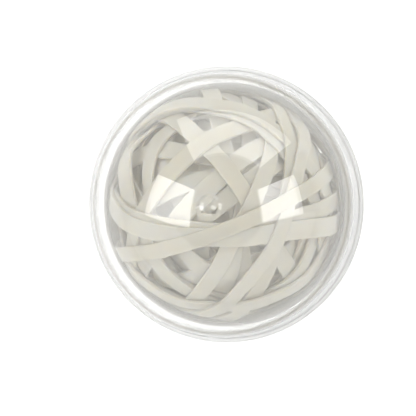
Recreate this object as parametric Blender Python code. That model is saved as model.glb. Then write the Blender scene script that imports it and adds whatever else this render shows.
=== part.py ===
"""A ball wound from flat rubber bands, inside a clear case of two domed halves.

The case's halves are turned shapes that meet in a lap joint, and the upper half lifts off.
Each rubber band is a closed loop in a plane near the ball's centre. The bands go on one after
the other, and each is pulled taut over what lies under it, so it runs straight from one
crossing to the next. The finished ball is then squeezed round, so that it fills the case.
"""

import math

import bmesh
import bpy
import numpy as np
from mathutils import Vector
from mathutils.bvhtree import BVHTree

MM = 0.001

# Case, a hollow ball whose inside is cut at the equator and whose outside is cut at the shoulder
INNER_RADIUS = 28.0 * MM
WALL = 2.6 * MM
RIM_REACH = 0.9 * MM
RIM_HEIGHT = 2.6 * MM
SEAM_GAP = 0.3 * MM
FOOT_RADIUS = 9.0 * MM
NUB_RADIUS = 2.9 * MM
NUB_HEIGHT = 0.7 * MM
NUB_EDGE = 0.4 * MM
DIMPLE_RADIUS = 2.1 * MM
DIMPLE_DEPTH = 0.5 * MM

# Skirt of the upper half, which stands inside a collar of the lower half
SKIRT_HEIGHT = 7.0 * MM
SKIRT_WALL = 0.9 * MM
SKIRT_CLEARANCE = 0.3 * MM

# Rubber bands
HEART_RADIUS = 18.5 * MM
BAND_THICKNESS = 0.5 * MM
BAND_GAP = 0.25 * MM
FILLER_WIDTH = 3.6 * MM
BALL_CLEARANCE = 0.3 * MM

# Fineness of the round shapes
CASE_SIDES = 36
CASE_STEP = math.radians(10)
HEART_FINENESS = 3
BAND_STEP = math.radians(1)
BAND_TOLERANCE = 0.12 * MM
LONGEST_SPAN = math.radians(12)
FEWEST_CORNERS = 12
RAYS_ACROSS = 9
RAYS_REACH = 1.15
SURVEY_RAYS = 3000
FILLER_CHOICES = 300
COVER_SPREAD = math.radians(5)
SQUEEZE_SPREAD = math.radians(9)
BUMP_WEIGHT = 14

OUTER_RADIUS = INNER_RADIUS + WALL
RIM_RADIUS = OUTER_RADIUS + RIM_REACH
FOOT_DROP = math.sqrt(OUTER_RADIUS ** 2 - FOOT_RADIUS ** 2)
CENTRE = Vector((0, 0, FOOT_DROP))

# The bands that show, in three layers from the innermost out. Each has its heading round the
# vertical axis and its lean away from upright, in degrees, its shift off the ball's centre
# and its sway from side to side, in mm, where along the band it sways most, in degrees, and
# its width, in mm.
DEEP_BANDS = (
    (1, -15, 1, 1, 0, 3.7),
    (2, -51, -2, 2, 0, 3.7),
    (172, -37, 1.5, 1.5, 0, 3.9),
    (14, 45, 0, 0, 0, 3.5),
    (120, -51, 0, 0, 0, 3.6),
    (169, 34, -1.5, 1.5, 0, 3.7),
)
MIDDLE_BANDS = (
    (80, 16, 0, 0, 0, 3.5),
    (37, 1, 0, 0, 0, 4.2),
    (43, -8, 0, 0, 0, 4.1),
    (128, -47, 0, 0, 0, 3.5),
    (74, 60, 0, 0, 0, 3.5),
    (109, -42, 0, 1.5, -33, 3.7),
    (129, 16, 0, 0.5, 55, 3.8),
)
TOP_BANDS = (
    (64, 17, 0, 0, 0, 3.6),
    (44, -26, 0, 0, 0, 3.6),
    (146, 45, 0, 1.5, 83, 3.3),
    (157, 52, 0, 0, 0, 3.5),
    (78, 39, 0, 0, 0, 3.2),
    (1, 57, 0, 0, 0, 3.1),
    (179, -12, 1.5, 1.5, 0, 3.7),
    (170, -13, 0, 2.5, -34, 4.0),
    (62, 35, 0, 0, 0, 3.1),
    (21, 12, 0, 0, 0, 3.3),
    (30, 87, 2.0, 0, 0, 3.6),
    (30, 87, 5.9, 0, 0, 3.6),
)

# How many bands fill the low places before each of these layers goes on.
LAYERS = ((10, DEEP_BANDS), (6, MIDDLE_BANDS), (1, TOP_BANDS))


def turned_mesh(name, profile):
    """A closed shape turned round the vertical axis from (radius, height) points, top to bottom
    down the outside, with its first and last points on the axis."""
    shape = bmesh.new()
    rings = []
    for radius, height in profile:
        if radius < 1e-7:
            rings.append([shape.verts.new((0, 0, height))])
            continue
        turns = [math.tau * k / CASE_SIDES for k in range(CASE_SIDES)]
        rings.append([shape.verts.new((radius * math.cos(a), radius * math.sin(a), height)) for a in turns])
    for upper, lower in zip(rings, rings[1:]):
        for k in range(CASE_SIDES):
            after = (k + 1) % CASE_SIDES
            if len(upper) == 1:
                shape.faces.new((upper[0], lower[k], lower[after]))
            elif len(lower) == 1:
                shape.faces.new((upper[k], lower[0], upper[after]))
            else:
                shape.faces.new((upper[k], lower[k], lower[after], upper[after]))
    mesh = bpy.data.meshes.new(name)
    shape.to_mesh(mesh)
    shape.free()
    return mesh


def arc(radius, start, end):
    """Points of an arc about the case's centre, between two angles from straight up."""
    steps = max(1, math.ceil(abs(end - start) / CASE_STEP))
    angles = [start + (end - start) * k / steps for k in range(steps + 1)]
    return [(radius * math.sin(a), radius * math.cos(a)) for a in angles]


def material(name, colour, roughness, alpha=1.0):
    """A plain surface with its colour, roughness and clearness."""
    made = bpy.data.materials.new(name)
    made.use_nodes = True
    shader = made.node_tree.nodes["Principled BSDF"]
    shader.inputs["Base Color"].default_value = (*colour, 1)
    shader.inputs["Roughness"].default_value = roughness
    shader.inputs["Metallic"].default_value = 0.0
    shader.inputs["Alpha"].default_value = alpha
    return made


def add_object(name, mesh, surface, location=(0, 0, 0)):
    """An object with its mesh and its own material, shaded smooth apart from its sharp edges."""
    made = bpy.data.objects.new(name, mesh)
    mesh.materials.append(surface)
    mesh.shade_smooth()
    mesh.set_sharp_from_angle(angle=math.radians(35))
    made.location = location
    bpy.context.scene.collection.objects.link(made)
    return made


def upper_shell():
    """The domed upper half, with its nub and the thin skirt under its shoulder."""
    nub_top = OUTER_RADIUS + NUB_HEIGHT
    dimple = [(0, nub_top - DIMPLE_DEPTH)]
    dimple += [(DIMPLE_RADIUS / 2, nub_top - DIMPLE_DEPTH * 3 / 4)]
    nub_foot = math.sqrt(OUTER_RADIUS ** 2 - NUB_RADIUS ** 2)
    nub = [(DIMPLE_RADIUS, nub_top), (NUB_RADIUS - NUB_EDGE, nub_top)]
    nub += [(NUB_RADIUS, nub_top - NUB_EDGE), (NUB_RADIUS, nub_foot)]
    seam = SEAM_GAP / 2
    shoulder = SKIRT_HEIGHT + seam
    dome = arc(OUTER_RADIUS, math.asin(NUB_RADIUS / OUTER_RADIUS), math.acos(shoulder / OUTER_RADIUS))[1:]
    skirt_radius = INNER_RADIUS + SKIRT_WALL
    skirt = [(skirt_radius, shoulder), (skirt_radius, seam)]
    hollow = arc(INNER_RADIUS, math.acos(seam / INNER_RADIUS), 0)
    profile = dimple + nub + dome + skirt + hollow
    clear = material("clear_upper_case", (0.93, 0.94, 0.94), 0.04, 0.25)
    return add_object("upper_shell", turned_mesh("upper_shell", profile), clear, CENTRE)


def lower_shell():
    """The lower half: a bowl with a flat foot, a rim and a collar that rises round the skirt."""
    seam = -SEAM_GAP / 2
    collar_radius = INNER_RADIUS + SKIRT_WALL + SKIRT_CLEARANCE
    collar_top = SKIRT_HEIGHT + seam
    hollow = arc(INNER_RADIUS, math.pi, math.acos(seam / INNER_RADIUS))
    collar = [(collar_radius, seam), (collar_radius, collar_top)]
    collar += arc(OUTER_RADIUS, math.acos(collar_top / OUTER_RADIUS), math.acos(RIM_HEIGHT / 2 / OUTER_RADIUS))
    rim = [(RIM_RADIUS, RIM_HEIGHT / 2), (RIM_RADIUS, -RIM_HEIGHT / 2)]
    foot_angle = math.pi - math.asin(FOOT_RADIUS / OUTER_RADIUS)
    bowl = arc(OUTER_RADIUS, math.acos(-RIM_HEIGHT / 2 / OUTER_RADIUS), foot_angle)
    profile = hollow + collar + rim + bowl + [(0, -FOOT_DROP)]
    clear = material("clear_lower_case", (0.93, 0.94, 0.94), 0.04, 0.25)
    return add_object("lower_shell", turned_mesh("lower_shell", profile), clear, CENTRE)


class Band:
    """One rubber band: a loop in its own plane, with a path that may shift and sway from it."""

    def __init__(self, heading, lean, shift, sway, sway_at, width):
        turn = math.radians(heading)
        tip = math.radians(lean)
        self.along = np.array([math.cos(turn), math.sin(turn), 0])
        level = math.cos(tip)
        self.axis = np.array([math.sin(turn) * level, -math.cos(turn) * level, -math.sin(tip)])
        self.across = np.cross(self.axis, self.along)
        self.shift = shift * MM
        self.sway = sway * MM
        self.sway_at = math.radians(sway_at)
        self.width = width * MM

    def offset(self, turns):
        """How far the path lies off the plane through the ball's centre."""
        return self.shift + self.sway * np.cos(2 * (turns - self.sway_at))

    def frames(self, radii, turns):
        """The path's points at these distances from the band's axis and angles round it, with
        the directions out of the ball and across the band there."""
        flat = np.cos(turns)[:, None] * self.along + np.sin(turns)[:, None] * self.across
        centre = radii[:, None] * flat + self.offset(turns)[:, None] * self.axis
        ahead = np.roll(centre, -1, axis=0) - np.roll(centre, 1, axis=0)
        outward = unit(centre)
        return centre, outward, unit(np.cross(outward, ahead))

    def corners(self, radii, turns):
        """Four corners of the band's section at each place on its path: two inner, two outer."""
        centre, outward, sideways = self.frames(radii, turns)
        half = self.width / 2 * sideways
        rise = BAND_THICKNESS * outward
        return np.stack([centre - half, centre + half, centre + half + rise, centre - half + rise], axis=1)


def unit(vectors):
    """The vectors at a length of one."""
    return vectors / np.linalg.norm(vectors, axis=-1)[..., None]


def spread_directions(count):
    """Directions spread evenly over a ball, along a spiral that turns by the golden angle."""
    steps = np.arange(count)
    rise = 1 - (2 * steps + 1) / count
    turns = steps * math.pi * (3 - math.sqrt(5))
    flat = np.sqrt(1 - rise ** 2)
    return np.stack([flat * np.cos(turns), flat * np.sin(turns), rise], axis=1)


def convex_outline(points):
    """The corners of the convex outline round flat points, anticlockwise."""
    ordered = sorted(map(tuple, points))

    def half(run):
        kept = []
        for p in run:
            while len(kept) > 1 and turn_of(kept[-2], kept[-1], p) <= 0:
                kept.pop()
            kept.append(p)
        return kept[:-1]

    return half(ordered) + half(reversed(ordered))


def turn_of(a, b, c):
    """Positive where the way from a over b to c turns left."""
    return (b[0] - a[0]) * (c[1] - a[1]) - (b[1] - a[1]) * (c[0] - a[0])


def meeting_point(a, b, c, d):
    """Where the line through a and b meets the line through c and d."""
    first = (b[0] - a[0], b[1] - a[1])
    second = (d[0] - c[0], d[1] - c[1])
    cross = first[0] * second[1] - first[1] * second[0]
    along = ((c[0] - a[0]) * second[1] - (c[1] - a[1]) * second[0]) / cross
    return (a[0] + along * first[0], a[1] + along * first[1])


def with_fewer_corners(outline):
    """The outline with its shortest edges left out and their neighbours run on until they meet,
    so that it still holds all that it held and stands off it by less than the tolerance."""
    corners = list(outline)
    while len(corners) > FEWEST_CORNERS:
        count = len(corners)
        best = None
        for k in range(count):
            before, start, end, after = (corners[(k + step) % count] for step in (-1, 0, 1, 2))
            if turn_of(before, start, end) + turn_of(start, end, after) < 1e-12:
                continue
            apex = meeting_point(before, start, after, end)
            length = math.dist(start, end)
            rise = turn_of(start, apex, end) / length
            if best is None or rise < best[0]:
                best = (rise, k, apex)
        if best is None or best[0] > BAND_TOLERANCE:
            break
        corners[best[1]] = best[2]
        corners.pop((best[1] + 1) % count)
    return corners


def taut_path(band, turns, highest):
    """The radii and angles of the band's inner face: the convex outline over all that lies under
    it, with its long straight runs divided."""
    clear = np.sqrt((highest + BAND_GAP) ** 2 - band.offset(turns) ** 2)
    flat = np.stack([clear * np.cos(turns), clear * np.sin(turns)], axis=1)
    corners = with_fewer_corners(convex_outline(flat))
    path = []
    for start, end in zip(corners, corners[1:] + corners[:1]):
        turn = math.atan2(start[1], start[0])
        sweep = (math.atan2(end[1], end[0]) - turn) % math.tau
        parts = max(1, math.ceil(sweep / LONGEST_SPAN))
        for part in range(parts):
            share = part / parts
            path.append([start[0] + (end[0] - start[0]) * share, start[1] + (end[1] - start[1]) * share])
    path = np.array(path)
    return np.hypot(path[:, 0], path[:, 1]), np.arctan2(path[:, 1], path[:, 0])


def ring_faces(count):
    """Faces of a closed ring with four corners at each of its places."""
    faces = []
    for k in range(count):
        here = 4 * k
        there = 4 * ((k + 1) % count)
        for side in range(4):
            turn = (side + 1) % 4
            faces.append((here + side, here + turn, there + turn, there + side))
    return faces


class Ball:
    """The ball as it is wound: its heart, the corners of its bands and their surface so far."""

    def __init__(self, planned):
        shape = bmesh.new()
        bmesh.ops.create_icosphere(shape, subdivisions=HEART_FINENESS, radius=HEART_RADIUS)
        shape.verts.index_update()
        self.heart = np.array([v.co[:] for v in shape.verts])
        self.heart_faces = [tuple(v.index for v in face.verts) for face in shape.faces]
        shape.free()
        self.bands = []
        self.points = self.heart.tolist()
        self.faces = list(self.heart_faces)
        self.survey = spread_directions(SURVEY_RAYS)
        self.cover = self.cover_of(np.array([band.axis for band in planned])).sum(axis=1)
        self.measure()

    def measure(self):
        """Measures the surface again, and how far out it lies in each direction of the survey."""
        self.tree = BVHTree.FromPolygons(self.points, self.faces)
        self.heights = np.array([self.height_at(ray) for ray in self.survey])

    def height_at(self, ray):
        """How far from the centre the surface lies in one direction."""
        outside = 4 * HEART_RADIUS
        return self.tree.ray_cast(Vector(ray * outside), Vector(-ray))[0].length

    def heights_under(self, band):
        """For angles all round the band, how far out it must lie to clear the surface, as the
        highest of several rays across its width."""
        turns = np.arange(0, math.tau, BAND_STEP)
        middle = np.full(len(turns), float(self.heights.mean()))
        centre, outward, sideways = band.frames(middle, turns)
        highest = np.zeros(len(turns))
        for share in np.linspace(-RAYS_REACH, RAYS_REACH, RAYS_ACROSS):
            rays = unit(centre + share * band.width / 2 * sideways)
            reach = np.array([self.height_at(ray) for ray in rays])
            highest = np.maximum(highest, reach * np.sum(rays * outward, axis=1))
        return turns, highest

    def wind(self, band):
        """Pulls a band taut over all that lies under it."""
        corners = band.corners(*taut_path(band, *self.heights_under(band)))
        first = len(self.points)
        self.points += corners.reshape(-1, 3).tolist()
        self.faces += [tuple(first + i for i in face) for face in ring_faces(len(corners))]
        self.bands.append(corners)
        self.measure()

    def cover_of(self, axes):
        """How far a loop square to each axis covers each direction of the survey, up to one."""
        return np.exp(-0.5 * (self.survey @ axes.T / COVER_SPREAD) ** 2)

    def fill_thinnest(self):
        """Winds a band where the loops wound so far, and those still to be wound, lie thinnest."""
        choices = spread_directions(2 * FILLER_CHOICES)[:FILLER_CHOICES]
        loops = self.cover_of(choices)
        depth = self.cover ** 2 @ loops / loops.sum(axis=0)
        best = int(np.argmin(depth))
        self.cover += loops[:, best]
        axis = choices[best]
        heading = math.degrees(math.atan2(axis[0], -axis[1]))
        lean = -math.degrees(math.asin(axis[2]))
        self.wind(Band(heading, lean, 0, 0, 0, FILLER_WIDTH / MM))

    def level_at(self, points):
        """The general level of the surface near each point's direction, without its single bumps."""
        closeness = np.exp((unit(points) @ self.survey.T - 1) / SQUEEZE_SPREAD ** 2)
        raised = np.sum(closeness * self.heights ** BUMP_WEIGHT, axis=-1) / np.sum(closeness, axis=-1)
        return raised ** (1 / BUMP_WEIGHT)

    def squeeze_round(self, reach):
        """Moves every point in or out so that the surface has one general level, with its highest
        bump at this reach."""
        self.bands = [corners / self.level_at(corners)[..., None] for corners in self.bands]
        self.heart = self.heart / self.level_at(self.heart)[..., None]
        size = reach / max(np.linalg.norm(corners, axis=-1).max() for corners in self.bands)
        self.bands = [corners * size for corners in self.bands]
        self.heart = self.heart * size


def rubber_ball():
    """The heart and the bands, which fill the case."""
    layers = [(fillers, [Band(*row) for row in rows]) for fillers, rows in LAYERS]
    ball = Ball([band for _, bands in layers for band in bands])
    for fillers, bands in layers:
        for _ in range(fillers):
            ball.fill_thinnest()
        for band in bands:
            ball.wind(band)
    ball.squeeze_round(INNER_RADIUS - BALL_CLEARANCE)
    heart = bpy.data.meshes.new("inner_windings")
    heart.from_pydata(ball.heart.tolist(), [], ball.heart_faces)
    add_object("inner_windings", heart, material("buried_rubber", (0.42, 0.40, 0.33), 0.7), CENTRE)
    for number, corners in enumerate(ball.bands, start=1):
        name = f"band_{number:02d}"
        mesh = bpy.data.meshes.new(name)
        mesh.from_pydata(corners.reshape(-1, 3).tolist(), [], ring_faces(len(corners)))
        add_object(name, mesh, material(f"rubber_{number:02d}", (0.62, 0.59, 0.52), 0.55), CENTRE)


def main():
    for old in list(bpy.data.objects):
        bpy.data.objects.remove(old, do_unlink=True)
    lower_shell()
    upper_shell()
    rubber_ball()


main()
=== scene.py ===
import math

import bpy
import numpy as np
from bpy.props import FloatProperty, FloatVectorProperty, PointerProperty
from mathutils import Matrix, Vector


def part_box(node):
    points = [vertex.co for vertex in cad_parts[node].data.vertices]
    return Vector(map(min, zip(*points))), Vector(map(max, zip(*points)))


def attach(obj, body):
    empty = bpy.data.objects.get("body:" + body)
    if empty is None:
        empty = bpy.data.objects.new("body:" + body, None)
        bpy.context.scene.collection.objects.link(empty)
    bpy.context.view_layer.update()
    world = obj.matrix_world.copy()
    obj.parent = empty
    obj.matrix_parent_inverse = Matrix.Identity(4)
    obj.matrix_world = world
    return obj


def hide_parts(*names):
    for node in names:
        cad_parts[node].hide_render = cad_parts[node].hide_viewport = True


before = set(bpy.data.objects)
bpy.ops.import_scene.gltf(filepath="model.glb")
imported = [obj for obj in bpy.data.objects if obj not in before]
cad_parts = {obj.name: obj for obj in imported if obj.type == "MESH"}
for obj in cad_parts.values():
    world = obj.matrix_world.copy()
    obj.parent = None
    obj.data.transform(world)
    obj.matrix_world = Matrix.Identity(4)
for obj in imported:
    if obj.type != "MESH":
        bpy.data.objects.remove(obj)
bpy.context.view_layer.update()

bl_info = {
    "name": "Rubber Band Ball",
    "version": (1, 0, 0),
    "blender": (4, 5, 0),
    "location": "View3D > Sidebar > Band Ball",
    "description": "Builds a rubber band ball in its clear case round the packed model",
    "category": "Object",
}

MM = 0.001
GOLDEN = 0.5 * (math.sqrt(5) - 1)

# The seam of the case lies at the height of its centre, and the lid starts half the gap above it.
SEAM_GAP = 0.3 * MM
CENTRE = np.array([0.0, 0.0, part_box("upper_shell")[0].z - SEAM_GAP / 2])
RIM_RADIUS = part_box("lower_shell")[1].x
NUB_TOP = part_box("upper_shell")[1].z - CENTRE[2]
FOOT_DROP = CENTRE[2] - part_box("lower_shell")[0].z

LATHE_TURNS = 192
ARC_STEP = math.radians(1.5)
CORNER_STEPS = 4
LOOP_STATIONS = 240
BURIED_STATIONS = 120
BURIED_BANDS = 10

# Where the case starts to hold the rubber in, and how near its wall the rubber may come.
HOLD_START = 27.3 * MM
HOLD_LIMIT = 27.93 * MM

# How each loop of the CAD is read: the rounds in which its axis is found, and the widest turn
# that the four corners of one ring may span.
AXIS_ROUNDS = 5
WIDEST_RING = math.radians(3)

# The slow waves that move a band to either side: how many round the loop, how much of the
# band's own phase, and how strong. WAVE_PEAK is about the sum of their strengths.
WAVES = ((3, 1.0, 1.0), (5, 2.3, 0.7), (11, 3.1, 0.4))
WAVE_PEAK = 1.5

# The heart: rings from pole to pole, how closely it follows the CAD solid's corners, how much
# painted shade it takes (a darker, more olive tint, as rubber looks in the shaded gaps) and its
# tone, and its ridges, whose width is a share of its radius.
HEART_ROWS = 96
HEART_FOCUS = 220
HEART_INSET = 0.4 * MM
# Share of painted shade on the buried windings: a darker, more olive tint, as rubber looks in the
# shaded gaps.
BURIED_PAINTED_SHADE = 0.55
BURIED_TONE = 0.3
RIDGES = 9
RIDGE_WIDTH = 0.085
RIDGE_HEIGHT = 0.5 * MM

# Roundings as shares of the edge setting, and how a corner is rounded: the most of a side that
# it may take, and where the points that keep the flats flat stand.
TIGHT_EDGE = 0.3
NUB_FOOT_EDGE = 0.4
NUB_EDGE = 0.5
JOINT_EDGE = 0.6
RIM_EDGE = 1.5
LONGEST_EDGE = 0.45
FLAT_START = 1.12

DIMPLE_STEPS = 14
DIMPLE_SPAN = 0.48 * math.pi
DIMPLE_MARGIN = 0.02 * MM
DIMPLE_EDGE = 0.12 * MM

# Heights from the seam: where the haze starts and is full, and where the dark beige sheet of
# painted shade on the inner face lies.
HAZE_START = 8.5 * MM
HAZE_FULL = 6 * MM
PAINTED_SHADE_TOP = 11 * MM
PAINTED_SHADE_FOOT = -13 * MM
PAINTED_SHADE_FADE = (5 * MM, 5 * MM)
COAT_DEPTH = 0.4 * MM
BLOOM_RISE = (7 * MM, 13 * MM)
FROST_FADE = (10.5 * MM, 8.5 * MM)

# The photo was taken from above, a little to the right of straight down.
CAMERA_TILT = (math.radians(6.807), math.radians(1.1056))
CAMERA_DISTANCE = 0.57
CAMERA_TARGET = (-0.13 * MM, -0.17 * MM, 31.3 * MM)
CAMERA_LENS = 215.6
SENSOR = 36.0
NEAREST_SEEN = 0.01

# The floor reaches this far each way, and lies just below the foot. The panels stand at these
# distances. Each softbox is four directions: a turn from +X and an elevation, in degrees. The
# window and the veil are sheets: turns, elevations at the start and the end, and steps.
FLOOR_REACH = 4.0
FLOOR_DROP = 0.05 * MM
SOFTBOX_DISTANCE = 0.8
SHEET_DISTANCE = 1.4
LEFT_SOFTBOX = ((154, 32), (146, 67), (-143, 60), (-173, 25))
RIGHT_SOFTBOX = ((22, 54), (23, 19), (-6, 15), (-21, 50))
WINDOW = ((43, 120), ((2, 2), (42, 47)), 24)
VEIL = ((-175, -5), ((2, 2), (50, 50)), 36)
WHITE = (1, 1, 1, 1)


def linear(colour):
    """The linear colour of an sRGB hex string such as "e6e2d8"."""
    parts = [int(colour[k:k + 2], 16) / 255 for k in (0, 2, 4)]
    return tuple(c / 12.92 if c <= 0.04045 else ((c + 0.055) / 1.055) ** 2.4 for c in parts)


class CaseSettings(bpy.types.PropertyGroup):
    outer_radius: FloatProperty(
        name="Outer radius", description="Radius of the ball case without its rim",
        default=30.6 * MM, unit="LENGTH")
    wall: FloatProperty(
        name="Wall", description="Thickness of the moulded wall", default=2.6 * MM, unit="LENGTH")
    rim_height: FloatProperty(
        name="Rim height", description="Height of the rim round the lower half",
        default=2.6 * MM, unit="LENGTH")
    skirt_height: FloatProperty(
        name="Skirt height", description="How far the lid's skirt stands into the lower half",
        default=7.0 * MM, unit="LENGTH")
    skirt_wall: FloatProperty(
        name="Skirt wall", description="Thickness of the skirt", default=0.9 * MM, unit="LENGTH")
    skirt_clearance: FloatProperty(
        name="Skirt clearance", description="Air between the skirt and the collar round it",
        default=0.3 * MM, unit="LENGTH")
    nub_radius: FloatProperty(
        name="Nub radius", description="Radius of the moulded nub on top",
        default=2.9 * MM, unit="LENGTH")
    nub_slope: FloatProperty(
        name="Nub slope", description="How far the nub's top slopes down to its side",
        default=0.42 * MM, unit="LENGTH")
    dimple_radius: FloatProperty(
        name="Dimple radius", description="Radius of the hollow in the nub",
        default=2.1 * MM, unit="LENGTH")
    dimple_depth: FloatProperty(
        name="Dimple depth", description="Depth of the bowl of the hollow in the nub",
        default=0.8 * MM, unit="LENGTH")
    dimple_step: FloatProperty(
        name="Dimple step", description="Height of the step round the hollow",
        default=0.3 * MM, unit="LENGTH")
    foot_radius: FloatProperty(
        name="Foot radius", description="Radius of the flat foot", default=9.0 * MM, unit="LENGTH")
    edge: FloatProperty(
        name="Edge", description="Rounding of the moulded edges", default=0.3 * MM, unit="LENGTH")
    tint: FloatVectorProperty(
        name="Tint", description="Colour of the clear plastic", subtype="COLOR",
        default=linear("fafbfa"))
    haze: FloatProperty(
        name="Haze", description="Roughness of the plastic near the seam", default=0.5,
        subtype="FACTOR")
    # Painted shade: how much a dark beige matt sheet on the inner face near the seam covers,
    # standing in for the shaded rubber seen through the wall.
    painted_shade_sheet: FloatProperty(
        name="Painted shade sheet", description="How much the film near the seam covers", default=0.8,
        subtype="FACTOR")
    bloom: FloatProperty(
        name="Bloom", description="How much the faint bloom on the rest of the inside covers",
        default=0.28, subtype="FACTOR")
    rubbed: FloatVectorProperty(
        name="Rubbed", description="Colour of the plastic near the seam", subtype="COLOR",
        default=linear("f7f8f7"))
    frost: FloatProperty(
        name="Frost", description="How matt the moulded faces of the joint are", default=0.25,
        subtype="FACTOR")


class RubberSettings(bpy.types.PropertyGroup):
    swell: FloatProperty(
        name="Swell", description="How far each face of a band bulges past the rigid loop",
        default=0.08 * MM, unit="LENGTH")
    corner: FloatProperty(
        name="Corner", description="Rounding of a band's cut edges",
        default=0.16 * MM, unit="LENGTH")
    crown: FloatProperty(
        name="Crown", description="How far the outer face arches across its width",
        default=0.05 * MM, unit="LENGTH")
    wander: FloatProperty(
        name="Wander", description="How far a band strays to either side",
        default=0.10 * MM, unit="LENGTH")
    ease: FloatProperty(
        name="Ease", description="Over what angle a band rounds each bend",
        default=math.radians(3.2), subtype="ANGLE")
    pale: FloatVectorProperty(
        name="Pale", description="Colour of the palest rubber", subtype="COLOR",
        default=linear("f0e9df"))
    deep: FloatVectorProperty(
        name="Deep", description="Colour of the darkest rubber", subtype="COLOR",
        default=linear("e6dece"))


class StageSettings(bpy.types.PropertyGroup):
    floor: FloatVectorProperty(
        name="Floor", description="Colour of the floor", subtype="COLOR", default=linear("dedede"))
    glow: FloatProperty(
        name="Glow", description="How much paler the floor looks to the camera and in the case",
        default=0.15)
    sky: FloatProperty(name="Sky", description="Strength of the light from all round", default=0.75)
    softbox: FloatProperty(name="Softbox", description="Strength of the two softboxes", default=5.2)
    window: FloatProperty(name="Window", description="Strength of the broad far panel", default=2.9)
    veil: FloatProperty(name="Veil", description="Strength of the broad near panel", default=1.6)


def facing_out(points, faces):
    """The same faces, turned about if they enclose the points with a negative volume."""
    volume = 0.0
    for group in faces:
        for k in range(1, group.shape[1] - 1):
            a, b, c = points[group[:, 0]], points[group[:, k]], points[group[:, k + 1]]
            volume += float(np.einsum("ij,ij->", a, np.cross(b, c)))
    return faces if volume > 0 else [group[:, ::-1] for group in faces]


def add_piece(name, points, faces, material, uv=None, tone=None):
    """Adds a smooth closed mesh. uv gives a pair for each corner of the faces, in their order."""
    mesh = bpy.data.meshes.new(name)
    mesh.from_pydata(points.tolist(), [], [face for group in faces for face in group.tolist()])
    mesh.shade_smooth()
    if uv is not None:
        layer = mesh.uv_layers.new(name="along")
        layer.data.foreach_set("uv", np.asarray(uv, np.float32).ravel())
    if tone is not None:
        values = mesh.attributes.new("tone", "FLOAT", "POINT")
        values.data.foreach_set("value", np.full(len(points), tone, np.float32))
    mesh.materials.append(material)
    mesh.update()
    made = bpy.data.objects.new(name, mesh)
    bpy.context.scene.collection.objects.link(made)
    return made


def turned(profile):
    """Points and faces of a closed shape turned round the vertical axis. The profile is
    (radius, height) pairs, top to bottom down the outside, and starts and ends on the axis."""
    profile = np.asarray(profile, float)
    rings = profile[1:-1]
    turns = math.tau * np.arange(LATHE_TURNS) / LATHE_TURNS
    grid = np.empty((len(rings), LATHE_TURNS, 3))
    grid[..., 0] = rings[:, :1] * np.cos(turns)
    grid[..., 1] = rings[:, :1] * np.sin(turns)
    grid[..., 2] = rings[:, 1:]
    top, bottom = [[0, 0, profile[0, 1]]], [[0, 0, profile[-1, 1]]]
    points = np.concatenate((top, grid.reshape(-1, 3), bottom))
    at = 1 + np.arange(len(rings) * LATHE_TURNS).reshape(len(rings), LATHE_TURNS)
    after = np.roll(at, -1, axis=1)
    quads = np.stack([at[:-1], at[1:], after[1:], after[:-1]], -1).reshape(-1, 4)
    first, last = np.zeros(LATHE_TURNS, int), np.full(LATHE_TURNS, len(points) - 1)
    top_fan = np.stack([first, at[0], after[0]], -1)
    bottom_fan = np.stack([last, after[-1], at[-1]], -1)
    fans = np.concatenate((top_fan, bottom_fan))
    return points + CENTRE, [quads, fans]


def arc(radius, start, end):
    """(radius, height, 0) points of an arc about the centre, between angles from straight up."""
    steps = max(1, math.ceil(abs(end - start) / ARC_STEP))
    angles = np.linspace(start, end, steps + 1)
    return [(radius * math.sin(a), radius * math.cos(a), 0) for a in angles]


def softened(corners):
    """The profile with each corner (radius, height, edge) rounded over that edge by a
    second-order curve, between two close-set points that keep the flats beside it flat."""
    out = []
    for k, (radius, height, edge) in enumerate(corners):
        here = np.array([radius, height])
        if not edge:
            out.append(here)
            continue
        sides = [np.array(corners[k + step][:2]) - here for step in (-1, 1)]
        spans = [np.linalg.norm(side) for side in sides]
        start, end = (here + side / span * min(edge, LONGEST_EDGE * span)
                      for side, span in zip(sides, spans))
        out.append(here + (start - here) * FLAT_START)
        for t in np.linspace(0, 1, CORNER_STEPS + 1):
            out.append((1 - t) ** 2 * start + 2 * t * (1 - t) * here + t ** 2 * end)
        out.append(here + (end - here) * FLAT_START)
    return np.array(out)


def lid_profile(case):
    """The domed half: a hollow in a nub, the dome, its shoulder, the skirt and the inside."""
    outer, inner, edge = case.outer_radius, case.outer_radius - case.wall, case.edge
    floor = NUB_TOP - case.dimple_step
    dimple = [(case.dimple_radius * math.sin(a), floor - case.dimple_depth * math.cos(a) ** 2, 0)
              for a in np.linspace(0, DIMPLE_SPAN, DIMPLE_STEPS)]
    nub = [(case.dimple_radius + DIMPLE_MARGIN, NUB_TOP, DIMPLE_EDGE)]
    nub += [(case.nub_radius, NUB_TOP - case.nub_slope, edge * NUB_EDGE)]
    nub_foot = math.sqrt(outer ** 2 - case.nub_radius ** 2)
    nub += [(case.nub_radius, nub_foot, edge * NUB_FOOT_EDGE)]
    low = SEAM_GAP / 2
    shoulder = low + case.skirt_height
    dome_start = math.asin(case.nub_radius / outer) + ARC_STEP / 2
    dome = arc(outer, dome_start, math.acos((shoulder + edge) / outer))
    dome += [(math.sqrt(outer ** 2 - shoulder ** 2), shoulder, edge * JOINT_EDGE)]
    skirt_radius = inner + case.skirt_wall
    skirt = [(skirt_radius, shoulder, edge * TIGHT_EDGE), (skirt_radius, low, edge * JOINT_EDGE)]
    hollow = [(math.sqrt(inner ** 2 - low ** 2), low, edge * JOINT_EDGE)]
    hollow += arc(inner, math.acos(low / inner) - ARC_STEP / 2, 0)
    return softened(dimple + nub + dome + skirt + hollow)


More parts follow.
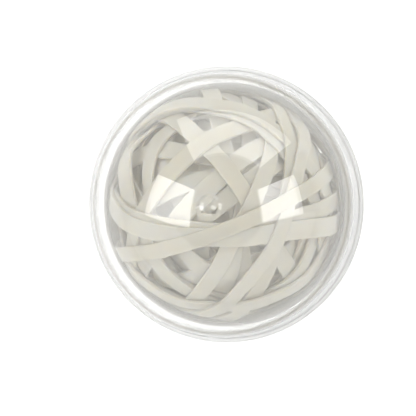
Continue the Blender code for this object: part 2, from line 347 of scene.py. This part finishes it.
def bowl_profile(case):
    """The lower half: the hollow inside, the collar round the skirt, the rim and the flat foot."""
    outer, inner, edge = case.outer_radius, case.outer_radius - case.wall, case.edge
    high = -SEAM_GAP / 2
    collar_radius = inner + case.skirt_wall + case.skirt_clearance
    collar_top = high + case.skirt_height
    half_rim = case.rim_height / 2
    hollow = arc(inner, math.pi, math.acos(high / inner) + ARC_STEP / 2)
    hollow += [(math.sqrt(inner ** 2 - high ** 2), high, edge * JOINT_EDGE)]
    collar = [(collar_radius, high, edge * TIGHT_EDGE)]
    collar += [(collar_radius, collar_top, edge * JOINT_EDGE)]
    collar += [(math.sqrt(outer ** 2 - collar_top ** 2), collar_top, edge * JOINT_EDGE)]
    collar_start = math.acos((collar_top - edge) / outer)
    collar += arc(outer, collar_start, math.acos((half_rim + edge) / outer))
    at_rim = math.sqrt(outer ** 2 - half_rim ** 2)
    rim = [(at_rim, half_rim, edge), (RIM_RADIUS, half_rim, edge * RIM_EDGE)]
    rim += [(RIM_RADIUS, -half_rim, edge * RIM_EDGE), (at_rim, -half_rim, edge)]
    flat = math.pi - math.asin(case.foot_radius / outer)
    bowl = arc(outer, math.acos(-(half_rim + edge) / outer), flat - ARC_STEP / 2)
    bowl += [(case.foot_radius, -FOOT_DROP, edge)]
    return softened(hollow + collar + rim + bowl + [(0, -FOOT_DROP, 0)])


def vertices_of(node):
    """The places of a CAD node's corners from the centre of the case, each once."""
    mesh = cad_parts[node].data
    raw = np.empty(len(mesh.vertices) * 3, np.float32)
    mesh.vertices.foreach_get("co", raw)
    return np.unique(raw.reshape(-1, 3), axis=0).astype(float) - CENTRE


def stations_of(points):
    """(turns, reach, side, axes): the CAD loop as rings of four corners, inner and outer on the
    low side and on the high side. Each ring nearly shares a half-plane with the loop's axis, so
    the axis is square to the cross product of any two of its corners."""
    if len(points) % 4:
        raise RuntimeError("a band's loop isn't made of rings of four corners")
    axis = np.linalg.svd(points - points.mean(0), full_matrices=False)[2][-1]
    for _ in range(AXIS_ROUNDS):
        along = np.cross(axis, np.eye(3)[np.argmin(abs(axis))])
        along /= np.linalg.norm(along)
        across = np.cross(axis, along)
        turns = np.arctan2(points @ across, points @ along)
        order = np.argsort(turns)
        best = None
        for first in range(4):
            rolled = np.roll(order, -first)
            angles = turns[rolled]
            angles[len(angles) - first:] += math.tau
            angles = angles.reshape(-1, 4)
            spread = (angles[:, 3] - angles[:, 0]).max()
            if best is None or spread < best[0]:
                best = spread, angles, rolled.reshape(-1, 4)
        spread, angles, rings = best
        pairs = [np.cross(points[rings[:, a]], points[rings[:, b]])
                 for a in range(4) for b in range(a)]
        better = np.linalg.svd(np.concatenate(pairs), full_matrices=False)[2][-1]
        axis = better * np.sign(better @ axis)
    if spread > WIDEST_RING:
        raise RuntimeError("a band's corners don't fall into rings")
    side = points[rings] @ axis
    reach = np.hypot(points[rings] @ across, points[rings] @ along)
    rows = np.arange(len(rings))[:, None]
    by_side = np.argsort(side, axis=1)
    low, high = by_side[:, :2], by_side[:, 2:]
    low = np.take_along_axis(low, np.argsort(reach[rows, low], axis=1), 1)
    high = np.take_along_axis(high, np.argsort(reach[rows, high], axis=1), 1)
    chosen = np.concatenate((low, high), axis=1)
    seen = np.empty_like(angles)
    seen[rows, np.arange(4)] = angles
    return seen[rows, chosen], reach[rows, chosen], side[rows, chosen], (along, across, axis)


def eased(values, spread):
    """A closed run of rows, each one the average of those round it with a bell of that spread."""
    waves = np.fft.rfft(values, axis=0)
    bell = np.exp(-0.5 * (np.arange(len(waves)) * spread) ** 2)
    return np.fft.irfft(waves * bell[:, None], len(values), axis=0)


def loop_rails(turns, reach, side, count, ease):
    """The four edges at even turns: each goes straight from ring to ring, as a taut band does,
    and is then eased over its bends."""
    at = math.tau * np.arange(count) / count
    new_reach, new_side = np.empty((count, 4)), np.empty((count, 4))
    for edge in range(4):
        start = turns[0, edge]
        closed = np.append(turns[:, edge], start + math.tau)
        now = start + (at - start) % math.tau
        k = np.clip(np.searchsorted(closed, now, side="right") - 1, 0, len(turns) - 1)
        after = (k + 1) % len(turns)
        span, gone = closed[k + 1] - closed[k], now - closed[k]
        near, far = reach[k, edge], reach[after, edge]
        ahead, behind = near * np.sin(gone), far * np.sin(span - gone)
        new_reach[:, edge] = near * far * np.sin(span) / (ahead + behind)
        share = ahead / (ahead + behind)
        new_side[:, edge] = side[k, edge] * (1 - share) + side[after, edge] * share
    return at, eased(new_reach, ease), eased(new_side, ease)


def strap_outline(half_width, half_thick, corner, crown):
    """(x, y) points round a strap's section: a rectangle with round corners whose outer face
    is arched by the crown, x across the width and y out of the ball."""
    turns = np.radians([0, 30, 60, 90])
    points = []
    back = turns[::-1]
    for sign_x, sign_y, run in ((1, 1, turns), (-1, 1, back), (-1, -1, turns), (1, -1, back)):
        x = sign_x * (half_width - corner + corner * np.cos(run))
        y = sign_y * (half_thick - corner + corner * np.sin(run))
        points += list(zip(x, y))
        if sign_x == 1 and sign_y == 1:
            points += [(half_width * share, half_thick) for share in (0.5, 0, -0.5)]
        if sign_x == -1 and sign_y == -1:
            points += [(0, -half_thick)]
    outline = np.array(points)
    arch = crown * (1 - (outline[:, 0] / half_width) ** 2)
    outline[:, 1] += np.where(outline[:, 1] > 0, arch, 0)
    return outline


def held_in(points):
    """Points about the centre, held inside the case's wall by a smooth limit: beyond the start
    of the hold, a point's reach r becomes start + room * (1 - exp(-(r - start) / room))."""
    far = np.linalg.norm(points, axis=-1)
    over = np.maximum(far - HOLD_START, 0)
    room = HOLD_LIMIT - HOLD_START
    held = np.minimum(far, HOLD_START) + room * (1 - np.exp(-over / room))
    return points * (held / far)[..., None]


def band_mesh(node, index, rubber):
    """Points, faces and UV of one rubber band. The strap's section is carried round the four
    eased edges of the CAD loop: a point of it is mixed from the edges by its place across and
    through the strap, and moved a little to the side by slow waves round the loop."""
    turns, reach, side, (along, across, axis) = stations_of(vertices_of(node))
    count = BURIED_STATIONS if index < BURIED_BANDS else LOOP_STATIONS
    at, reach, side = loop_rails(turns, reach, side, count, rubber.ease)
    half_width = float(np.mean(side[:, 3] - side[:, 1])) / 2
    half_thick = float(np.mean(reach[:, [1, 3]] - reach[:, [0, 2]])) / 2
    outline = strap_outline(half_width, half_thick + rubber.swell, rubber.corner, rubber.crown)
    x = outline[:, 0] / half_width
    y = outline[:, 1] / half_thick
    low, high = (1 - x) / 2, (1 + x) / 2
    inward, outward = (1 - y) / 2, (1 + y) / 2
    shares = np.stack([low * inward, low * outward, high * inward, high * outward])
    out = reach @ shares
    aside = side @ shares
    phase = math.tau * index * GOLDEN
    waves = sum(strength * np.sin(count_round * at + share * phase)
                for count_round, share, strength in WAVES)
    aside += rubber.wander * waves[:, None] / WAVE_PEAK
    flat = np.cos(at)[:, None, None] * along + np.sin(at)[:, None, None] * across
    grid = held_in(out[..., None] * flat + aside[..., None] * axis) + CENTRE
    rows, columns = out.shape
    ids = np.arange(rows * columns).reshape(rows, columns)
    below, beside = np.roll(ids, -1, 0), np.roll(ids, -1, 1)
    quads = np.stack([ids, below, np.roll(below, -1, 1), beside], -1).reshape(-1, 4)
    middle = out.mean(1)
    length = np.concatenate(([0], np.cumsum(middle * math.tau / rows)))
    u0, u1 = np.repeat(length[:-1], columns), np.repeat(length[1:], columns)
    v0, v1 = np.tile(outline[:, 0], rows), np.tile(np.roll(outline[:, 0], -1), rows)
    uv = np.stack([np.stack(pair, -1) for pair in ((u0, v0), (u1, v0), (u1, v1), (u0, v1))], 1)
    points = grid.reshape(-1, 3)
    faces = facing_out(points, [quads])
    if faces[0] is not quads:
        uv = uv[:, ::-1]
    return points, faces, uv


def heart_mesh():
    """Points and faces of the buried windings: a ball whose reach in each direction is the mean
    of the CAD solid's corners near it, with low ridges where windings run round it."""
    corners = vertices_of("inner_windings")
    far = np.linalg.norm(corners, axis=1)
    rows = HEART_ROWS
    tilt = np.linspace(0, math.pi, rows)[:, None]
    turn = math.tau * np.arange(2 * rows)[None] / (2 * rows)
    ways = np.stack(np.broadcast_arrays(
        np.sin(tilt) * np.cos(turn), np.sin(tilt) * np.sin(turn), np.cos(tilt)), -1)
    weight = np.exp(HEART_FOCUS * (ways.reshape(-1, 3) @ (corners / far[:, None]).T - 1))
    reach = (weight @ far / weight.sum(1)).reshape(rows, 2 * rows)
    ridges = np.zeros_like(reach)
    for k in range(RIDGES):
        height = 1 - 2 * ((k + 0.5) / RIDGES)
        lean = math.tau * k * GOLDEN
        flat = math.sqrt(1 - height ** 2)
        offset = ways @ np.array([flat * math.cos(lean), flat * math.sin(lean), height])
        rise = np.sqrt(np.clip(1 - (offset / RIDGE_WIDTH) ** 4, 0, 1))
        ridges = np.maximum(ridges, RIDGE_HEIGHT * rise)
    grid = (reach + ridges - HEART_INSET)[..., None] * ways
    profile_ids = 1 + np.arange((rows - 2) * 2 * rows).reshape(rows - 2, 2 * rows)
    after = np.roll(profile_ids, -1, 1)
    points = np.concatenate((grid[:1, 0], grid[1:-1].reshape(-1, 3), grid[-1:, 0])) + CENTRE
    quads = np.stack([profile_ids[:-1], profile_ids[1:], after[1:], after[:-1]], -1).reshape(-1, 4)
    ends = np.full(2 * rows, len(points) - 1)
    top_fan = np.stack([ends * 0, profile_ids[0], after[0]], -1)
    bottom_fan = np.stack([ends, after[-1], profile_ids[-1]], -1)
    fans = np.concatenate((top_fan, bottom_fan))
    return points, facing_out(points, [quads, fans])


def add_node(tree, kind, inputs=(), give=0, **settings):
    """Adds a shader node with its settings, fills inputs with values or with sockets, and
    returns the output that give names. A node without outputs returns None."""
    node = tree.nodes.new("ShaderNode" + kind)
    for key, value in settings.items():
        setattr(node, key, value)
    for key, value in dict(inputs).items():
        if isinstance(value, bpy.types.NodeSocket):
            tree.links.new(value, node.inputs[key])
        else:
            node.inputs[key].default_value = value
    return node.outputs[give] if node.outputs else None


def new_material(name):
    """An empty material and its node tree."""
    material = bpy.data.materials.new(name)
    material.use_nodes = True
    material.node_tree.nodes.clear()
    return material, material.node_tree


def natural_rubber(name, rubber, painted_shade_share):
    """Natural rubber, unfilled, cut from extruded tube: pale, a little translucent, with drawn
    streaks along it, a fine dusty grain and a faint sheen that pales its edges. The painted shade
    share tints buried windings a little darker and more olive, as painted shade, the way rubber
    looks in the shaded gaps between bands."""
    material, tree = new_material(name)
    place = add_node(tree, "TexCoord", give="Object")
    along = add_node(tree, "UVMap", uv_map="along")
    tone = add_node(tree, "Attribute", give="Fac", attribute_name="tone")
    blotch = {"Vector": place, "Scale": 130, "Detail": 2, "Roughness": 0.55}
    clouds = add_node(tree, "MapRange", {
        "Value": add_node(tree, "TexNoise", blotch), "From Min": 0.35, "From Max": 0.65,
    }, interpolation_type="SMOOTHSTEP")
    grain = add_node(tree, "TexNoise", {
        "Vector": place, "Scale": 5500, "Detail": 2, "Roughness": 0.55})
    stretched = add_node(tree, "Mapping", {"Vector": along, "Scale": (90, 3000, 1)})
    streaks = add_node(tree, "TexNoise", {
        "Vector": stretched, "Scale": 1, "Detail": 2, "Roughness": 0.55})
    share = add_node(tree, "Math", {
        0: add_node(tree, "Math", {0: tone, 1: 0.55}, operation="MULTIPLY"),
        1: add_node(tree, "Math", {0: clouds, 1: 0.45}, operation="MULTIPLY"),
    }, operation="ADD")
    body = add_node(tree, "Mix", {
        0: share, 6: (*rubber.deep, 1), 7: (*rubber.pale, 1)}, 2, data_type="RGBA")
    drawn = add_node(tree, "MapRange", {
        "Value": streaks, "From Min": 0.35, "From Max": 0.7, "To Max": 0.25,
    }, interpolation_type="SMOOTHSTEP")
    streaked = add_node(tree, "Mix", {0: drawn, 6: body, 7: (*rubber.deep, 1)}, 2, data_type="RGBA")
    # Painted shade: buried windings are mixed towards a darker, more olive colour, as rubber looks
    # in the shaded gaps between bands.
    colour = add_node(tree, "Mix", {
        0: painted_shade_share, 6: streaked, 7: (*linear("e6dec6"), 1)}, 2, data_type="RGBA")
    height = add_node(tree, "Math", {
        0: add_node(tree, "Math", {0: streaks, 1: 0.6}, operation="MULTIPLY"),
        1: add_node(tree, "Math", {0: grain, 1: 0.4}, operation="MULTIPLY"),
    }, operation="ADD")
    shader = add_node(tree, "BsdfPrincipled", {
        "Base Color": colour,
        "Roughness": add_node(tree, "MapRange", {
            "Value": grain, "From Min": 0.3, "From Max": 0.7, "To Min": 0.42, "To Max": 0.6,
        }, interpolation_type="SMOOTHSTEP"),
        "IOR": 1.52,
        "Specular IOR Level": 0.4,
        "Subsurface Weight": 0.9,
        "Subsurface Radius": (1.0, 0.85, 0.6),
        "Subsurface Scale": 1.8 * MM,
        "Sheen Weight": 0.12,
        "Sheen Roughness": 0.5,
        "Normal": add_node(tree, "Bump", {
            "Height": height, "Strength": 0.35, "Distance": 0.05 * MM}),
    })
    add_node(tree, "OutputMaterial", {"Surface": shader})
    return material


def clear_polystyrene(name, case):
    """Crystal polystyrene, moulded and polished: clear and bright. Near the seam it is hazy and a
    little matt, where handling and the joint have rubbed it. On the inner face near the seam a dark
    beige matt sheet is painted shade, standing in for the shaded rubber seen through the wall
    there; higher up a faint pale coat covers the inside."""
    material, tree = new_material(name)
    place = add_node(tree, "TexCoord", give="Object")
    away = add_node(tree, "VectorMath", {0: place, 1: tuple(CENTRE)}, operation="SUBTRACT")
    height = add_node(tree, "SeparateXYZ", {"Vector": away}, "Z")
    from_seam = add_node(tree, "Math", {0: height, 1: 0}, operation="ABSOLUTE")
    rubbed = add_node(tree, "MapRange", {
        "Value": from_seam, "From Min": HAZE_START, "From Max": HAZE_FULL,
    }, interpolation_type="SMOOTHSTEP")
    plastic = add_node(tree, "BsdfPrincipled", {
        "Base Color": add_node(tree, "Mix", {
            0: rubbed, 6: (*case.tint, 1), 7: (*case.rubbed, 1)}, 2, data_type="RGBA"),
        "Roughness": add_node(tree, "Math", {0: rubbed, 1: case.haze}, operation="MULTIPLY"),
        "IOR": 1.59,
        "Transmission Weight": 1.0,
    })
    frost = add_node(tree, "MapRange", {
        "Value": from_seam, "From Min": FROST_FADE[0], "From Max": FROST_FADE[1],
        "To Max": case.frost,
    }, interpolation_type="SMOOTHSTEP")
    matt = add_node(tree, "BsdfDiffuse", {"Color": (*linear("f5f5f5"), 1)})
    frosted = add_node(tree, "MixShader", {0: frost, 1: plastic, 2: matt})

    inside = add_node(tree, "Math", {
        0: add_node(tree, "VectorMath", {0: away}, "Value", operation="LENGTH"),
        1: case.outer_radius - case.wall + COAT_DEPTH,
    }, operation="LESS_THAN")
    # Painted shade: a dark beige sheet on the inner face between these heights stands in for the
    # shaded rubber seen through the wall near the seam.
    starts = add_node(tree, "MapRange", {
        "Value": height, "From Min": PAINTED_SHADE_TOP, "From Max": PAINTED_SHADE_TOP - PAINTED_SHADE_FADE[0],
    }, interpolation_type="SMOOTHSTEP")
    ends = add_node(tree, "MapRange", {
        "Value": height, "From Min": PAINTED_SHADE_FOOT, "From Max": PAINTED_SHADE_FOOT + PAINTED_SHADE_FADE[1],
        "To Max": case.painted_shade_sheet,
    }, interpolation_type="SMOOTHSTEP")
    painted_shade_sheet = add_node(tree, "Math", {0: starts, 1: ends}, operation="MULTIPLY")
    bloom = add_node(tree, "MapRange", {
        "Value": height, "From Min": BLOOM_RISE[0], "From Max": BLOOM_RISE[1],
        "To Max": case.bloom,
    }, interpolation_type="SMOOTHSTEP")
    cover = add_node(tree, "Math", {0: painted_shade_sheet, 1: bloom}, operation="MAXIMUM")
    share = add_node(tree, "Math", {0: inside, 1: cover}, operation="MULTIPLY")
    # The dark beige colour is the painted shade; the pale one is the faint coat higher up.
    colour = add_node(tree, "Mix", {
        0: painted_shade_sheet, 6: (*linear("dcd7cb"), 1), 7: (*linear("958d6f"), 1)}, 2, data_type="RGBA")
    coat = add_node(tree, "BsdfDiffuse", {"Color": colour})
    mixed = add_node(tree, "MixShader", {0: share, 1: frosted, 2: coat})
    add_node(tree, "OutputMaterial", {"Surface": mixed})
    return material


def lamp_material(name, strength):
    """A glowing panel."""
    material, tree = new_material(name)
    shader = add_node(tree, "Emission", {"Color": WHITE, "Strength": strength})
    add_node(tree, "OutputMaterial", {"Surface": shader})
    return material


def seen_by_camera(tree):
    """1 on the rays that the camera sees straight, mirrored or through the case, 0 on the rest."""
    mirrored = add_node(tree, "Math", {
        0: add_node(tree, "LightPath", give="Is Camera Ray"),
        1: add_node(tree, "LightPath", give="Is Glossy Ray"),
    }, operation="MAXIMUM")
    through = add_node(tree, "LightPath", give="Is Transmission Ray")
    return add_node(tree, "Math", {0: mirrored, 1: through}, operation="MAXIMUM")


def board_material(name, colour, glow):
    """Matt painted board, which shows soft shadows and no shine. It looks a little paler where
    the camera sees it straight, mirrored or through the clear case."""
    material, tree = new_material(name)
    place = add_node(tree, "TexCoord", give="Object")
    blotch = {"Vector": place, "Scale": 14, "Detail": 3, "Roughness": 0.55}
    worn = add_node(tree, "MapRange", {
        "Value": add_node(tree, "TexNoise", blotch), "From Min": 0.3, "From Max": 0.7,
    }, interpolation_type="SMOOTHSTEP")
    shader = add_node(tree, "BsdfPrincipled", {
        "Base Color": add_node(tree, "Mix", {
            0: worn, 6: (*colour, 1), 7: (*(0.985 * c for c in colour), 1)}, 2, data_type="RGBA"),
        "Roughness": 0.8,
        "Specular IOR Level": 0.2,
        "Emission Color": WHITE,
        "Emission Strength": add_node(tree, "Math", {
            0: seen_by_camera(tree), 1: glow}, operation="MULTIPLY"),
    })
    add_node(tree, "OutputMaterial", {"Surface": shader})
    return material


def keep(piece, body, node):
    """The piece rides a body and stands for a CAD node, which is hidden."""
    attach(piece, body)
    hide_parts(node)


class BANDBALL_OT_lid(bpy.types.Operator):
    """Builds the domed upper half of the clear case"""

    bl_idname = "band_ball.lid"
    bl_label = "Lid"

    def execute(self, context):
        case = context.scene.band_ball_case
        points, faces = turned(lid_profile(case))
        material = clear_polystyrene("clear polystyrene lid", case)
        piece = add_piece("case_lid", points, faces, material)
        keep(piece, "lid", "upper_shell")
        return {"FINISHED"}


class BANDBALL_OT_bowl(bpy.types.Operator):
    """Builds the lower half of the clear case with its collar, rim and foot"""

    bl_idname = "band_ball.bowl"
    bl_label = "Bowl"

    def execute(self, context):
        case = context.scene.band_ball_case
        points, faces = turned(bowl_profile(case))
        material = clear_polystyrene("clear polystyrene bowl", case)
        piece = add_piece("case_bowl", points, faces, material)
        keep(piece, "base", "lower_shell")
        return {"FINISHED"}


class BANDBALL_OT_heart(bpy.types.Operator):
    """Builds the buried windings inside the ball"""

    bl_idname = "band_ball.heart"
    bl_label = "Heart"

    def execute(self, context):
        points, faces = heart_mesh()
        rubber = context.scene.band_ball_rubber
        # The buried windings take painted shade: a darker, more olive tint, as rubber looks in the
        # shaded gaps.
        material = natural_rubber("natural rubber with painted shade", rubber, BURIED_PAINTED_SHADE)
        uv = np.concatenate([points[group.ravel()][:, :2] for group in faces])
        piece = add_piece("heart", points, faces, material, uv, BURIED_TONE)
        keep(piece, "base", "inner_windings")
        return {"FINISHED"}


class BANDBALL_OT_bands(bpy.types.Operator):
    """Winds the rubber bands round the heart"""

    bl_idname = "band_ball.bands"
    bl_label = "Bands"

    def execute(self, context):
        rubber = context.scene.band_ball_rubber
        material = natural_rubber("natural rubber", rubber, 0.0)
        nodes = sorted(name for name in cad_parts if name.startswith("band_"))
        for index, node in enumerate(nodes):
            points, faces, uv = band_mesh(node, index, rubber)
            name = node.replace("band", "rubber_band")
            piece = add_piece(name, points, faces, material, uv, index * GOLDEN % 1)
            keep(piece, "base", node)
        return {"FINISHED"}


def sheet_panel(name, sheet, distance, material):
    """A glowing sheet that stands round the object at a distance: it spans its turns from +X
    and rises between two elevations given for its start and its end."""
    turns, heights, steps = sheet
    along = np.linspace(0, 1, steps + 1)
    turn = np.radians(turns[0] + (turns[1] - turns[0]) * along)
    rows = []
    for low, high in heights:
        tilt = np.radians(low + (high - low) * along)
        way = [np.cos(tilt) * np.cos(turn), np.cos(tilt) * np.sin(turn), np.sin(tilt)]
        rows.append(np.stack(way, -1))
    points = np.concatenate(rows) * distance + CENTRE
    k = np.arange(steps)
    quads = np.stack([k, k + 1, k + 1 + steps + 1, k + steps + 1], -1)
    panel = add_piece(name, points, [quads], material)
    panel.visible_camera = False
    return panel


def corner_panel(name, corners, distance, material):
    """A flat glowing sheet through four directions, each a turn from +X and an elevation."""
    turn, tilt = np.radians(np.array(corners)).T
    ways = np.stack([np.cos(tilt) * np.cos(turn), np.cos(tilt) * np.sin(turn), np.sin(tilt)], -1)
    panel = add_piece(name, ways * distance + CENTRE, [np.array([[0, 1, 2, 3]])], material)
    panel.visible_camera = False
    return panel


class BANDBALL_OT_stage(bpy.types.Operator):
    """Builds the floor, the panels that light the case, the sky and the camera"""

    bl_idname = "band_ball.stage"
    bl_label = "Stage"

    def execute(self, context):
        stage = context.scene.band_ball_stage
        sides = np.array([(-1, -1, 0), (1, -1, 0), (1, 1, 0), (-1, 1, 0)])
        corners = sides * FLOOR_REACH - [0, 0, FLOOR_DROP]
        floor = add_piece("floor", corners, [np.array([[0, 1, 2, 3]])],
                          board_material("matt white board", stage.floor, stage.glow))
        bright = lamp_material("softbox", stage.softbox)
        corner_panel("left_softbox", LEFT_SOFTBOX, SOFTBOX_DISTANCE, bright)
        corner_panel("right_softbox", RIGHT_SOFTBOX, SOFTBOX_DISTANCE, bright)
        window = lamp_material("far window", stage.window)
        sheet_panel("far_window", WINDOW, SHEET_DISTANCE, window)
        veil = lamp_material("near veil", stage.veil)
        sheet_panel("near_veil", VEIL, SHEET_DISTANCE, veil)
        world = bpy.data.worlds.new("sky")
        context.scene.world = world
        world.use_nodes = True
        tree = world.node_tree
        tree.nodes.clear()
        level = add_node(tree, "MapRange", {"Value": seen_by_camera(tree), "To Min": stage.sky})
        sky = add_node(tree, "Background", {"Color": WHITE, "Strength": level})
        add_node(tree, "OutputWorld", {"Surface": sky})
        data = bpy.data.cameras.new("photo")
        data.sensor_width = SENSOR
        data.lens = CAMERA_LENS
        data.clip_start = NEAREST_SEEN
        camera = bpy.data.objects.new("photo", data)
        context.scene.collection.objects.link(camera)
        centre = Vector(CENTRE)
        way = Vector((math.sin(CAMERA_TILT[0]), math.sin(CAMERA_TILT[1]), 0))
        way.z = math.sqrt(1 - way.length_squared)
        eye = centre + way * CAMERA_DISTANCE
        look = (centre + Vector(CAMERA_TARGET) - eye).normalized()
        right = look.cross(Vector((0, 1, 0))).normalized()
        turn = Matrix((right, right.cross(look), -look)).transposed().to_4x4()
        camera.matrix_world = Matrix.Translation(eye) @ turn
        context.scene.camera = camera
        context.scene.view_settings.view_transform = "Standard"
        return {"FINISHED"}


class BANDBALL_PT_panel(bpy.types.Panel):
    """Lists the steps that build the ball and their settings"""

    bl_idname = "BANDBALL_PT_panel"
    bl_label = "Band Ball"
    bl_space_type = "VIEW_3D"
    bl_region_type = "UI"
    bl_category = "Band Ball"

    def draw(self, context):
        layout = self.layout
        for step in STEPS:
            layout.operator(step.bl_idname)
        for name in SETTINGS:
            group = getattr(context.scene, name)
            box = layout.box()
            for key in group.bl_rna.properties.keys():
                if key not in ("rna_type", "name"):
                    box.prop(group, key)


SETTINGS = {
    "band_ball_case": CaseSettings,
    "band_ball_rubber": RubberSettings,
    "band_ball_stage": StageSettings,
}
STEPS = (BANDBALL_OT_lid, BANDBALL_OT_bowl, BANDBALL_OT_heart, BANDBALL_OT_bands, BANDBALL_OT_stage)


def register():
    for kind in (*SETTINGS.values(), *STEPS, BANDBALL_PT_panel):
        bpy.utils.register_class(kind)
    for name, kind in SETTINGS.items():
        setattr(bpy.types.Scene, name, PointerProperty(type=kind))


def unregister():
    for name in SETTINGS:
        delattr(bpy.types.Scene, name)
    for kind in (BANDBALL_PT_panel, *reversed(STEPS), *reversed(SETTINGS.values())):
        bpy.utils.unregister_class(kind)


def main():
    register()
    for step in STEPS:
        group, name = step.bl_idname.split(".")
        getattr(getattr(bpy.ops, group), name)()


if __name__ == "__main__":
    main()
